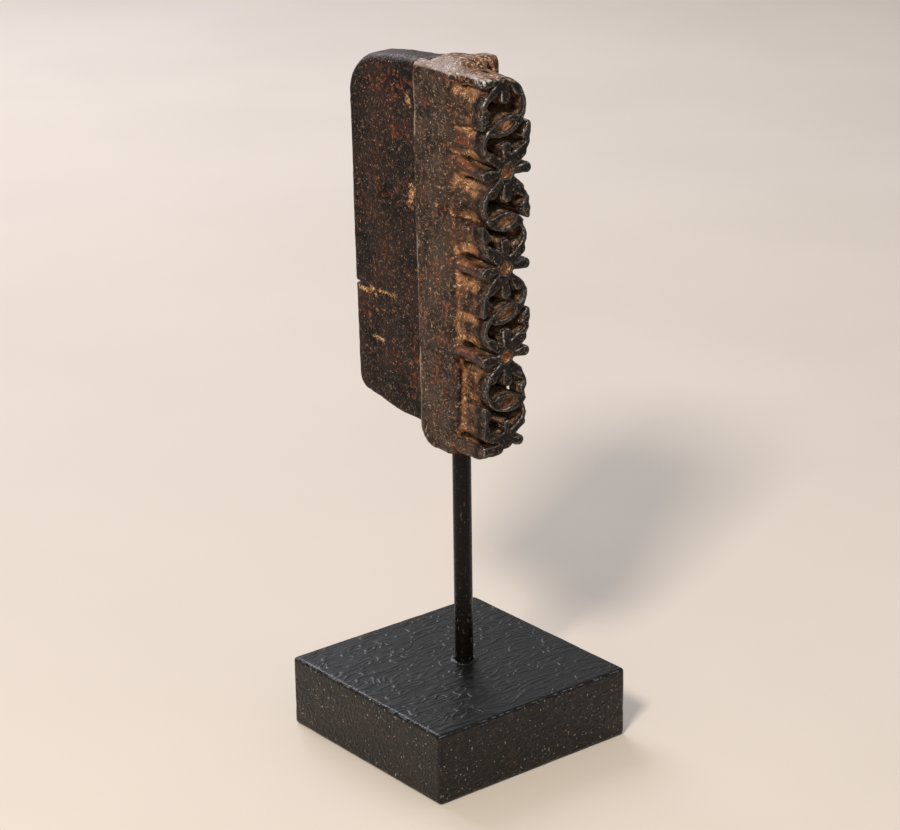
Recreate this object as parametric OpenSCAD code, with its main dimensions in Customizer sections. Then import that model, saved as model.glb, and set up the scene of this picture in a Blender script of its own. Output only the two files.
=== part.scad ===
// Wooden border printing block for cloth, standing on a rod in a square base.
// Millimetres, +Z up. The origin is the middle of the base's underside.
// The carved face looks towards -Y and the handle points towards +Y.

/* [Base] */
// Side of the square base
base_side = 102; // [80:1:140]
// Height of the base
base_height = 31.5; // [24:0.5:50]
// Rounding of the base's upright corners
base_corner = 1.5; // [0.5:0.5:6]

/* [Rod] */
// Diameter of the rod
rod_d = 8; // [6:0.5:12]
// Bare length of rod between the base and the block
rod_bare = 101; // [60:1:160]
// How far the rod stands right of the base's middle
rod_x = 4.2; // [-12:0.1:12]
// How far the rod stands behind the base's middle
rod_y = 0.9; // [-12:0.1:12]
// Depth of the rod's socket in the block
socket_depth = 45; // [30:1:55]
// Width of the shoulder by which the rod stands on the base
rod_shoulder = 1; // [0.5:0.1:1.5]
// Radial gap between the rod and the bores that it turns in
running_gap = 0.05; // [0.02:0.01:0.1]
// Bevel at the rod's upper end
rod_bevel = 0.8; // [0.2:0.1:1.5]

/* [Nut and washer] */
// Thickness of the nut's wall at its flats
nut_wall = 2; // [1.5:0.1:3]
// Height of the nut
nut_height = 5; // [3:0.5:7]
// Width of the washer's ring
washer_ring = 3.2; // [2:0.1:4]
// Thickness of the washer
washer_t = 1.6; // [1:0.1:2.5]
// Gap that the washer and nut have in their bores
thread_gap = 0.02; // [0.01:0.01:0.05]
// End play of the rod in the base
end_play = 0.1; // [0.05:0.05:0.3]
// Length of thread that shows below the nut
thread_end = 1.5; // [0.5:0.5:3]
// Height of the thread's end above the base's underside
thread_rise = 1.5; // [0.5:0.5:3]
// Room for a spanner round the nut
spanner_room = 3; // [2:0.5:5]

/* [Block] */
// Width of the block across its carved face
block_width = 27; // [24:0.5:36]
// Thickness of the solid wood behind the carving
block_back = 24; // [22:0.5:36]
// Height of the block
block_height = 161; // [140:1:220]
// Distance from the rod's axis to the block's rear face
block_rear = 9.8; // [9.4:0.1:12]
// Rounding of the block's lower rear edge
heel_round = 9; // [3:0.5:12]
// Rise of the block's underside towards the carved face
toe_rise = 1.2; // [0:0.1:3]
// Rounding of the block's upper edges
block_edge = 1.5; // [0.5:0.5:3]

/* [Carving] */
// Depth of the carving
carving_depth = 16.7; // [8:0.1:20]
// Wood left bare between the pattern and the block's sides
pattern_margin = 0.6; // [0.3:0.1:2]
// Length of one repeat of the border, which is fitted to the block
repeat_length = 38.5; // [34:0.5:44]
// How much longer each repeat was cut than the one below it
repeat_growth = 1.95; // [0:0.05:2.5]
// Height of the lowest flower above the block's underside
low_flower = 9.3; // [7:0.1:12]
// Height of the top flower above the block's top
high_flower = 2.3; // [0:0.1:5]
// How far the lowest flower sits left of the block's middle
pattern_shift = 2.2; // [0:0.1:3]
// Lean of the border to the right, in degrees
pattern_lean = 0.9; // [0:0.1:2]
// Width of a petal at its tip
petal_tip = 4.8; // [3:0.1:5.5]
// Width of a petal at its root
petal_root = 3; // [2:0.1:4]
// Width of the vine's ridges
ridge_width = 3.2; // [2:0.1:4]
// Height of a leaf at its middle
leaf_height = 8; // [6:0.1:10]
// Tilt of a leaf, in degrees
leaf_tilt = 7; // [0:1:15]
// How far a leaf's middle sits below the middle of its repeat
leaf_drop = 0.8; // [0:0.1:2]
// Distance from a leaf's points to the sides of the pattern
leaf_gap = 3.4; // [2:0.1:5]
// Width of a leaf's rim
leaf_rim = 2; // [1.4:0.1:2.6]
// Distance from a petal's tip to the sides of the pattern
petal_gap = 0.4; // [0:0.1:2]
// Radius of a flower's hollow middle
dimple_r = 2.6; // [1.5:0.1:3.2]
// Width of the rim round a flower's hollow middle
dimple_rim = 1.7; // [1:0.1:2.5]
// Depth of the hollows in flowers and leaves
hollow_depth = 2.5; // [1:0.1:5]
// Length of the plain rail along the pattern's upper end
top_rail = 14; // [8:0.5:20]
// Length of the plain rail along the pattern's lower end
low_rail = 10; // [6:0.5:20]
// Height of both rails
rail_height = 3.6; // [2:0.1:4]
// Height of the lower rail above the block's underside
low_rail_rise = 2.4; // [1.5:0.1:3]

/* [Handle] */
// Width of the handle
handle_width = 17; // [12:0.5:20]
// How far the handle stands out behind the block
handle_reach = 52.5; // [35:0.5:70]
// Height of the handle's lower edge above the block's underside
handle_low = 6.8; // [3:0.1:15]
// Drop from the block's top to the handle's top
handle_drop = 0.8; // [0.5:0.1:5]
// Fall of the handle's upper edge towards its rear
handle_fall = 2.2; // [0:0.1:5]
// Rise of the handle's lower edge towards its rear
handle_lift = 3.6; // [0:0.1:6]
// How much less the handle reaches at its lower rear corner
handle_tuck = 2.8; // [0:0.1:6]
// Rounding of the handle's upper rear corner
handle_crown = 18; // [8:0.5:24]
// Rounding of the handle's lower rear corner
handle_toe = 7; // [3:0.5:12]
// Rounding of the handle's long edges
handle_edge = 2.5; // [2:0.5:5.5]
// Depth of the housing that the handle sits in
housing_depth = 3; // [1.5:0.1:4]
// Gap round the handle in its housing
housing_gap = 0.1; // [0.05:0.05:0.3]

/* [Dowels] */
// Diameter of a dowel
dowel_d = 6; // [4:0.5:8]
// Length of dowel in the block, and again in the handle
dowel_half = 12; // [8:0.5:15]
// Radial gap round a dowel
dowel_gap = 0.02; // [0.01:0.01:0.05]
// Free space at each end of a dowel
dowel_end = 0.4; // [0.2:0.1:1]
// Least wood between a dowel and the rod's socket or the handle's ends
dowel_cover = 14; // [6:0.5:18]

/* [Hidden] */

// Facets of a curve, and the overlap that lets two solids join or a cut come out clean
curve_fn = 64;
corner_steps = 8;
weld = 1;

// Heights and places along the rod
tail_d = rod_d - 2 * rod_shoulder;
washer_d = tail_d + 2 * washer_ring;
nut_flats = tail_d + 2 * nut_wall;
nut_corners = nut_flats / cos(30);
nut_z = thread_rise + thread_end;
washer_z = nut_z + nut_height;
recess_depth = washer_z + washer_t + end_play;
recess_d = max(washer_d, nut_corners) + 2 * spanner_room;
block_z = base_height + rod_bare;
rod_top = block_z + socket_depth;

// Faces of the block and the handle
rear_y = rod_y + block_rear;
ground_y = rear_y - block_back;
face_y = ground_y - carving_depth;
block_top = block_z + block_height;
housing_y = rear_y - housing_depth;
handle_rear = rear_y + handle_reach;
handle_z = block_z + handle_low;
handle_top = block_top - handle_drop;

// Dowels share the run of handle above the rod's socket
dowel_low = rod_top + dowel_cover;
dowel_high = handle_top - handle_crown;
dowel_z = [dowel_low, (dowel_low + dowel_high) / 2, dowel_high];

// The border: whole repeats fitted between the lowest and the topmost flower
border_length = block_height - low_flower + high_flower;
repeats = max(2, round(border_length / repeat_length));
first_repeat = border_length / repeats - repeat_growth * (repeats - 1) / 2;
half_face = block_width / 2 - pattern_margin;
petal_reach = half_face - petal_gap;
dimple_outer = dimple_r + dimple_rim;
leaf_length = 2 * (half_face - leaf_gap);

// The vine's curves and teeth, as shares of the half face across and the half repeat up
vine_centre = [0.24, 0.46];
vine_radii = [0.6, 0.4];
vine_ends = [-50, 95];
hook_centre = [-0.24, 0.36];
hook_radii = [0.6, 0.38];
hook_ends = [110, 232];
tooth_points = [[-0.6, 0.14], [-0.3, 0.02], [-0.6, -0.2]];

function flower_z(k) = first_repeat * k + repeat_growth * k * (k - 1) / 2;
function repeat_at(k) = flower_z(k + 1) - flower_z(k);

// Points of an elliptical arc, from one angle to another
function arc(centre, across, high, from, to, steps = corner_steps) = [
    for (i = [0 : steps])
        let (a = from + (to - from) * i / steps)
        [centre.x + across * cos(a), centre.y + high * sin(a)]
];

// A point given as shares of the half face and the half repeat
function shared(p, half_repeat) = [p.x * half_face, p.y * half_repeat];

function reversed(points) = [for (i = [len(points) - 1 : -1 : 0]) points[i]];

module rounded_plate(width, depth, r) {
    x = width / 2 - r;
    y = depth / 2 - r;
    polygon(concat(
        arc([x, y], r, r, 0, 90), arc([-x, y], r, r, 90, 180),
        arc([-x, -y], r, r, 180, 270), arc([x, -y], r, r, 270, 360)
    ));
}

// Turns an outline drawn in (Y, Z) into a slab of this width, centred on the rod
module side_slab(width) {
    translate([rod_x - width / 2, 0, 0])
        rotate([90, 0, 90]) linear_extrude(width) children();
}

// Turns an outline drawn in (X, Z) into a slab that runs towards the carved face
module front_slab(y, depth) {
    translate([0, y, 0]) rotate([90, 0, 0]) linear_extrude(depth) children();
}

module rod_place(z) {
    translate([rod_x, rod_y, z]) children();
}

module stand_base() {
    color("#1b1a1a") difference() {
        linear_extrude(base_height) rounded_plate(base_side, base_side, base_corner);
        rod_place(-weld)
            cylinder(h = base_height + 2 * weld, d = tail_d + 2 * running_gap, $fn = curve_fn);
        rod_place(-weld) cylinder(h = recess_depth + weld, d = recess_d, $fn = curve_fn);
    }
}

module stand_rod() {
    color("#17171a") {
        rod_place(thread_rise)
            cylinder(h = base_height - thread_rise + weld, d = tail_d, $fn = curve_fn);
        rod_place(base_height)
            cylinder(h = rod_top - rod_bevel - base_height, d = rod_d, $fn = curve_fn);
        rod_place(rod_top - rod_bevel)
            cylinder(h = rod_bevel, d1 = rod_d, d2 = rod_d - 2 * rod_bevel, $fn = curve_fn);
    }
}

module rod_washer() {
    color("#8c8f92") rod_place(washer_z) difference() {
        cylinder(h = washer_t, d = washer_d, $fn = curve_fn);
        translate([0, 0, -weld])
            cylinder(h = washer_t + 2 * weld, d = tail_d + 2 * thread_gap, $fn = curve_fn);
    }
}

module rod_nut() {
    color("#9a9c9e") rod_place(nut_z) difference() {
        cylinder(h = nut_height, d = nut_corners, $fn = 6);
        translate([0, 0, -weld])
            cylinder(h = nut_height + 2 * weld, d = tail_d + 2 * thread_gap, $fn = curve_fn);
    }
}

// One petal lying along +X, narrow at the root and round at the tip
module petal(reach) {
    r = petal_tip / 2;
    polygon(concat([[0, -petal_root / 2]], arc([reach - r, 0], r, r, -80, 80), [[0, petal_root / 2]]));
}

// A flower whose petals point to the listed angles
module flower(angles) {
    circle(r = dimple_outer, $fn = 12);
    for (a = angles) rotate(a) petal(petal_reach);
}

// Two arcs that meet in points at the left and right
module leaf(length, height) {
    rise = height / 2;
    r = (length * length / 4 + rise * rise) / (2 * rise);
    half = asin(length / 2 / r);
    top = arc([0, rise - r], r, r, 90 - half, 90 + half);
    polygon(concat(top, [for (i = [1 : len(top) - 2]) -top[i]]));
}

// A curved ridge of even width along an elliptical arc
module ridge(centre, radii, ends) {
    outer = radii + [ridge_width, ridge_width] / 2;
    inner = radii - [ridge_width, ridge_width] / 2;
    polygon(concat(
        arc(centre, outer.x, outer.y, ends[0], ends[1]),
        reversed(arc(centre, inner.x, inner.y, ends[0], ends[1]))
    ));
}

// Half of the vine in one repeat: the arc above the leaf on one side and the
// toothed hook on the other. A half turn about the leaf gives the rest.
module half_vine(half_repeat) {
    hook = shared(hook_centre, half_repeat);
    ridge(shared(vine_centre, half_repeat), shared(vine_radii, half_repeat), vine_ends);
    ridge(hook, shared(hook_radii, half_repeat), hook_ends);
    polygon([for (p = tooth_points) hook + shared(p, half_repeat)]);
}

// Vine and leaf between two flowers, drawn round the leaf's middle
module vine(half_repeat, flip) {
    mirror([flip ? 1 : 0, 0])
        for (turn = [0, 180]) rotate(turn) half_vine(half_repeat);
    translate([0, -leaf_drop]) rotate(leaf_tilt) leaf(leaf_length, leaf_height);
}

module leaf_places() {
    for (k = [0 : repeats - 1]) translate([0, (flower_z(k) + flower_z(k + 1)) / 2]) {
        $k = k;
        children();
    }
}

module flower_places() {
    for (k = [0 : repeats]) translate([0, flower_z(k)]) {
        $k = k;
        children();
    }
}

// Sets the border on the carved face, from the lowest flower up
module border_place() {
    translate([rod_x - pattern_shift, block_z + low_flower]) rotate(-pattern_lean) children();
}

// Plain rails that close the pattern at its ends, from its left side inwards
module border_rails() {
    left = rod_x - half_face;
    translate([left, block_top - block_edge - rail_height]) square([top_rail, rail_height]);
    translate([left, block_z + low_rail_rise]) square([low_rail, rail_height]);
}

module border() {
    intersection() {
        translate([rod_x - half_face, block_z + toe_rise])
            square([2 * half_face, block_height - toe_rise - block_edge]);
        border_place() {
            flower_places()
                flower($k == 0 ? [0 : 45 : 180] : $k == repeats ? [180 : 45 : 360] : [0 : 45 : 315]);
            leaf_places() vine(repeat_at($k) / 2, (repeats - 1 - $k) % 2 == 1);
        }
    }
    border_rails();
}

module border_hollows() {
    border_place() {
        for (k = [1 : repeats - 1]) translate([0, flower_z(k)]) circle(r = dimple_r, $fn = curve_fn);
        leaf_places() translate([0, -leaf_drop]) rotate(leaf_tilt)
            leaf(leaf_length * (1 - 2 * leaf_rim / leaf_height), leaf_height - 2 * leaf_rim);
    }
}

module block_outline() {
    e = block_edge;
    polygon(concat(
        [[ground_y, block_z + toe_rise], [ground_y + block_back / 3, block_z]],
        arc([rear_y - heel_round, block_z + heel_round], heel_round, heel_round, 270, 360),
        arc([rear_y - e, block_top - e], e, e, 0, 90),
        arc([ground_y + e, block_top - e], e, e, 90, 180)
    ));
}

module carved_block() {
    color("#33241c") difference() {
        union() {
            side_slab(block_width) block_outline();
            front_slab(ground_y + weld, carving_depth + weld) border();
        }
        front_slab(face_y + hollow_depth, hollow_depth + weld) border_hollows();
        rod_place(block_z - weld)
            cylinder(h = socket_depth + weld, d = rod_d + 2 * running_gap, $fn = curve_fn);
        translate([rod_x - handle_width / 2 - housing_gap, housing_y, handle_z - housing_gap])
            cube([handle_width + 2 * housing_gap, housing_depth + weld, block_height]);
        for (z = dowel_z) dowel_hole(z);
    }
}

module handle_outline() {
    low_rear = handle_rear - handle_tuck;
    polygon(concat(
        [[housing_y, handle_z]],
        arc([low_rear - handle_toe, handle_z + handle_lift + handle_toe], handle_toe, handle_toe, -82, 0),
        arc([handle_rear - handle_crown, handle_top - handle_fall - handle_crown],
            handle_crown, handle_crown, 0, 86),
        [[housing_y, handle_top]]
    ));
}

module handle_plan() {
    half = handle_width / 2;
    inner = half - handle_edge;
    rear = handle_rear - handle_edge;
    polygon(concat(
        [[rod_x - half, housing_y], [rod_x + half, housing_y]],
        arc([rod_x + inner, rear], handle_edge, handle_edge, 0, 90),
        arc([rod_x - inner, rear], handle_edge, handle_edge, 90, 180)
    ));
}

module handle_front() {
    half = handle_width / 2;
    inner = half - handle_edge;
    top = handle_top - handle_edge;
    polygon(concat(
        [[rod_x - half, handle_z], [rod_x + half, handle_z]],
        arc([rod_x + inner, top], handle_edge, handle_edge, 0, 90),
        arc([rod_x - inner, top], handle_edge, handle_edge, 90, 180)
    ));
}

module handle() {
    color("#2b1e19") difference() {
        intersection() {
            side_slab(handle_width) handle_outline();
            translate([0, 0, handle_z - weld]) linear_extrude(block_height) handle_plan();
            front_slab(handle_rear + weld, handle_reach + housing_depth + 2 * weld) handle_front();
        }
        for (z = dowel_z) dowel_hole(z);
    }
}

module dowel_place(z) {
    translate([rod_x, housing_y, z]) rotate([-90, 0, 0]) children();
}

module dowel_hole(z) {
    half = dowel_half + dowel_end;
    dowel_place(z) translate([0, 0, -half])
        cylinder(h = 2 * half, d = dowel_d + 2 * dowel_gap, $fn = curve_fn);
}

module dowel(z) {
    color("#a57c52") dowel_place(z) translate([0, 0, -dowel_half])
        cylinder(h = 2 * dowel_half, d = dowel_d, $fn = curve_fn);
}

module lower_dowel() { dowel(dowel_z[0]); }
module middle_dowel() { dowel(dowel_z[1]); }
module upper_dowel() { dowel(dowel_z[2]); }

stand_base();
stand_rod();
rod_washer();
rod_nut();
carved_block();
handle();
lower_dowel();
middle_dowel();
upper_dowel();
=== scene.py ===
import math

import bmesh
import bpy
import numpy as np
from mathutils import Matrix, Vector


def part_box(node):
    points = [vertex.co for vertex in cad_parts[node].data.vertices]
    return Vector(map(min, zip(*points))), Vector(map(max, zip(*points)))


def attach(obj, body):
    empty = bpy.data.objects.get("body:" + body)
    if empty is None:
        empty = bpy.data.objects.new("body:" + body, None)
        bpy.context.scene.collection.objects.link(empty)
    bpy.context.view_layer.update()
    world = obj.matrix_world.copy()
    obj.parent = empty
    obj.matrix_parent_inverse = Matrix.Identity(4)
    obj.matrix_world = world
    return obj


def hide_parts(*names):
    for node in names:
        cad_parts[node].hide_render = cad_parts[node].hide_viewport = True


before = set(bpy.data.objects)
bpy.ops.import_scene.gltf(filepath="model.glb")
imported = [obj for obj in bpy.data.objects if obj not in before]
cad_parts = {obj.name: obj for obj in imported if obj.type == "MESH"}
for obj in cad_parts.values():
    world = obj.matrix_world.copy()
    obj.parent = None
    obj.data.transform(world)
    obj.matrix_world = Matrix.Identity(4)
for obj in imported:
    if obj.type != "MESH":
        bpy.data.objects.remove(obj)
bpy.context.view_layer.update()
scene = bpy.context.scene
metresPerMm = 0.001
print("frame loaded with", len(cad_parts), "parts")

# camera, solved from the corners of the base in the photograph
camera = {
    "place": (-0.66653, -0.83339, 0.53028),
    "azimuth": -38.548,
    "elevation": 19.8515,
    "roll": -0.797,
    "lens": 108.69,
    "sensor": 36.0,
    "clip": (0.05, 20),
}


def addCamera(c):
    a, e, r = (math.radians(c[k]) for k in ("azimuth", "elevation", "roll"))
    level = Vector((math.cos(a), math.sin(a), 0))
    back = Vector((math.sin(a) * math.cos(e), -math.cos(a) * math.cos(e), math.sin(e)))
    upright = back.cross(level)
    right = math.cos(r) * level + math.sin(r) * upright
    up = -math.sin(r) * level + math.cos(r) * upright
    data = bpy.data.cameras.new("camera")
    data.lens = c["lens"]
    data.sensor_width = c["sensor"]
    data.clip_start, data.clip_end = c["clip"]
    obj = bpy.data.objects.new("camera", data)
    turn = Matrix((right, up, back)).transposed().to_4x4()
    obj.matrix_world = Matrix.Translation(c["place"]) @ turn
    scene.collection.objects.link(obj)
    scene.camera = obj


addCamera(camera)
print("camera placed")


# shape helpers, all in millimetres
def smoothNoise(points, size, seed):
    # value noise from -1 to 1 with lumps about size mm across, one size for all axes or three
    table = np.random.default_rng(seed).uniform(-1, 1, (32, 32, 32)).astype(np.float32)
    q = points / np.asarray(size, np.float32)
    cell = np.floor(q).astype(np.int64)
    f = (q - cell).astype(np.float32)
    f = f * f * (3 - 2 * f)
    total = np.zeros(len(points), np.float32)
    for corner in np.ndindex(2, 2, 2):
        weight = np.prod(np.where(corner, f, 1 - f), axis=1)
        i, j, k = ((cell + corner) % 32).T
        total += weight * table[i, j, k]
    return total


def noiseOf(points, layers):
    # layers of noise, each a height, a size in mm and a seed
    return sum(height * smoothNoise(points, size, seed) for height, size, seed in layers)


def smoothMin(a, b, r):
    h = np.maximum(r - np.abs(a - b), 0) / r
    return np.minimum(a, b) - h * h * r / 4


def smoothMax(a, b, r):
    return -smoothMin(-a, -b, r)


def ramp(v, low, high):
    t = np.clip((v - low) / (high - low), 0, 1)
    return t * t * (3 - 2 * t)


def rampFrom(v, origin, band):
    return ramp(v, origin + band[0], origin + band[1])


def gridOver(low, high, cell):
    axes = [np.arange(a, b + cell, cell, dtype=np.float32) for a, b in zip(low, high)]
    return axes[0][:, None, None], axes[1][None, :, None], axes[2][None, None, :]


def skinOf(field, low, cell):
    # one point in each cell that the surface crosses, and a quad round each crossed grid edge
    solid = field < 0
    shape = np.array(field.shape) - 1
    count = np.zeros(shape, np.int8)
    corners = list(np.ndindex(2, 2, 2))
    for c in corners:
        count += solid[tuple(slice(o, o + n) for o, n in zip(c, shape))]
    crossed = (count > 0) & (count < 8)
    cells = np.argwhere(crossed)
    values = np.stack([field[tuple((cells + c).T)] for c in corners], 1)
    place = np.zeros((len(cells), 3))
    hits = np.zeros(len(cells))
    for a, ca in enumerate(corners):
        for axis in range(3):
            if ca[axis]:
                continue
            cb = list(ca)
            cb[axis] = 1
            va, vb = values[:, a], values[:, corners.index(tuple(cb))]
            hit = (va < 0) != (vb < 0)
            t = va[hit] / (va[hit] - vb[hit])
            place[hit] += ca
            place[hit, axis] += t
            hits += hit
    points = (cells + place / hits[:, None]) * cell + np.asarray(low)
    index = np.full(shape, -1)
    index[crossed] = np.arange(len(cells))
    quads = []
    for axis in range(3):
        b, c = (axis + 1) % 3, (axis + 2) % 3
        near = [slice(None)] * 3
        near[axis] = slice(0, -1)
        far = list(near)
        far[axis] = slice(1, None)
        change = solid[tuple(near)] != solid[tuple(far)]
        at = np.argwhere(change)
        at = at[(at[:, b] > 0) & (at[:, c] > 0) & (at[:, b] < shape[b]) & (at[:, c] < shape[c])]
        ring = []
        for ob, oc in ((1, 1), (0, 1), (0, 0), (1, 0)):
            p = at.copy()
            p[:, b] -= ob
            p[:, c] -= oc
            ring.append(index[tuple(p.T)])
        ring = np.stack(ring, 1)
        outward = solid[tuple(at.T)]
        ring[~outward] = ring[~outward][:, ::-1]
        quads.append(ring)
    return points, np.concatenate(quads)


def sampled(volume, points, low, cell):
    q = (points - np.asarray(low)) / cell
    top = np.array(volume.shape) - 2
    base = np.clip(np.floor(q).astype(np.int64), 0, top)
    f = np.clip(q - base, 0, 1)
    total = np.zeros(len(points))
    for c in np.ndindex(2, 2, 2):
        total += np.prod(np.where(c, f, 1 - f), axis=1) * volume[tuple((base + c).T)]
    return total


def boxBlur(volume, reach):
    out = volume.astype(np.float32)
    for axis in range(3):
        pad = [(0, 0)] * 3
        pad[axis] = (reach + 1, reach)
        run = np.cumsum(np.pad(out, pad, mode="edge"), axis=axis, dtype=np.float64)
        size = volume.shape[axis]
        width = 2 * reach + 1
        late = np.take(run, np.arange(width, width + size), axis=axis)
        early = np.take(run, np.arange(0, size), axis=axis)
        out = ((late - early) / width).astype(np.float32)
    return out


def emptyShare(field, points, low, cell, reachMm):
    # share of air round each point: above a half on outer edges, below it in hollows
    reach = max(1, round(reachMm / cell))
    solid = (field < 0).astype(np.float32)
    return 1 - sampled(boxBlur(boxBlur(solid, reach), reach), points, low, cell)


def meshFrom(name, points, faces):
    mesh = bpy.data.meshes.new(name)
    mesh.from_pydata((np.asarray(points) * metresPerMm).tolist(), [], [list(f) for f in faces])
    mesh.update()
    mesh.polygons.foreach_set("use_smooth", [True] * len(mesh.polygons))
    obj = bpy.data.objects.new(name, mesh)
    scene.collection.objects.link(obj)
    return obj


def pointsOf(obj):
    co = np.zeros(len(obj.data.vertices) * 3)
    obj.data.vertices.foreach_get("co", co)
    return co.reshape(-1, 3) / metresPerMm


def normalsOf(obj):
    n = np.zeros(len(obj.data.vertices) * 3)
    obj.data.vertices.foreach_get("normal", n)
    return n.reshape(-1, 3)


def movePoints(obj, points):
    obj.data.vertices.foreach_set("co", (points * metresPerMm).ravel())
    obj.data.update()


def setAttribute(obj, name, values, domain="POINT"):
    layer = obj.data.attributes.new(name, "FLOAT", domain)
    layer.data.foreach_set("value", np.asarray(values, np.float32))


def applyModifiers(obj):
    view = bpy.context.evaluated_depsgraph_get()
    mesh = bpy.data.meshes.new_from_object(obj.evaluated_get(view))
    obj.modifiers.clear()
    old = obj.data
    obj.data = mesh
    bpy.data.meshes.remove(old)
    mesh.name = obj.name
    mesh.polygons.foreach_set("use_smooth", [True] * len(mesh.polygons))


def thinned(obj, triangles):
    # fewer, larger faces on the flat stretches
    count = sum(len(p.vertices) - 2 for p in obj.data.polygons)
    thin = obj.modifiers.new("thin", "DECIMATE")
    thin.ratio = min(1, triangles / count)
    applyModifiers(obj)


def arcPoints(centre, r, start, end, steps=10):
    angles = [math.radians(start + (end - start) * i / steps) for i in range(steps + 1)]
    return [(centre[0] + r * math.cos(a), centre[1] + r * math.sin(a)) for a in angles]


def outlineDistance(points, u, v):
    # signed distance to a closed outline, negative inside
    best = np.full(np.broadcast(u, v).shape, 1e9, np.float32)
    inside = np.zeros(best.shape, bool)
    for (ax, ay), (bx, by) in zip(points, points[1:] + points[:1]):
        dx, dy = bx - ax, by - ay
        t = np.clip(((u - ax) * dx + (v - ay) * dy) / (dx * dx + dy * dy), 0, 1)
        best = np.minimum(best, (u - ax - t * dx) ** 2 + (v - ay - t * dy) ** 2)
        if ay != by:
            inside ^= ((ay > v) != (by > v)) & (u < ax + (v - ay) * dx / dy)
    return np.where(inside, -1, 1) * np.sqrt(best)


def slabField(x, profile, middle, half, edge):
    # an outline carried along X with its edges rounded
    across = np.abs(x - middle) - half + edge
    along = profile + edge
    outside = np.hypot(np.maximum(across, 0), np.maximum(along, 0))
    return outside + np.minimum(np.maximum(across, along), 0) - edge


# where the pieces meet, as in the solids
def boxMm(node):
    return [np.array(v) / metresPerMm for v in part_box(node)]


rodLow, rodHigh = boxMm("stand_rod")
rodAxis = (rodLow + rodHigh)[:2] / 2
rodRadius = (rodHigh - rodLow)[0] / 2
blockLow, blockHigh = boxMm("carved_block")
handleLow, handleHigh = boxMm("handle")
baseLow, baseHigh = boxMm("stand_base")
dowelNodes = ("lower_dowel", "middle_dowel", "upper_dowel")


def cutPegs(field, x, y, z):
    for node in dowelNodes:
        low, high = boxMm(node)
        barrel = np.hypot(x - (low + high)[0] / 2, z - (low + high)[2] / 2) - (high - low)[0] / 2
        field = np.maximum(field, -np.maximum(barrel, np.maximum(low[1] - y, y - high[1])))
    return field


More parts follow.
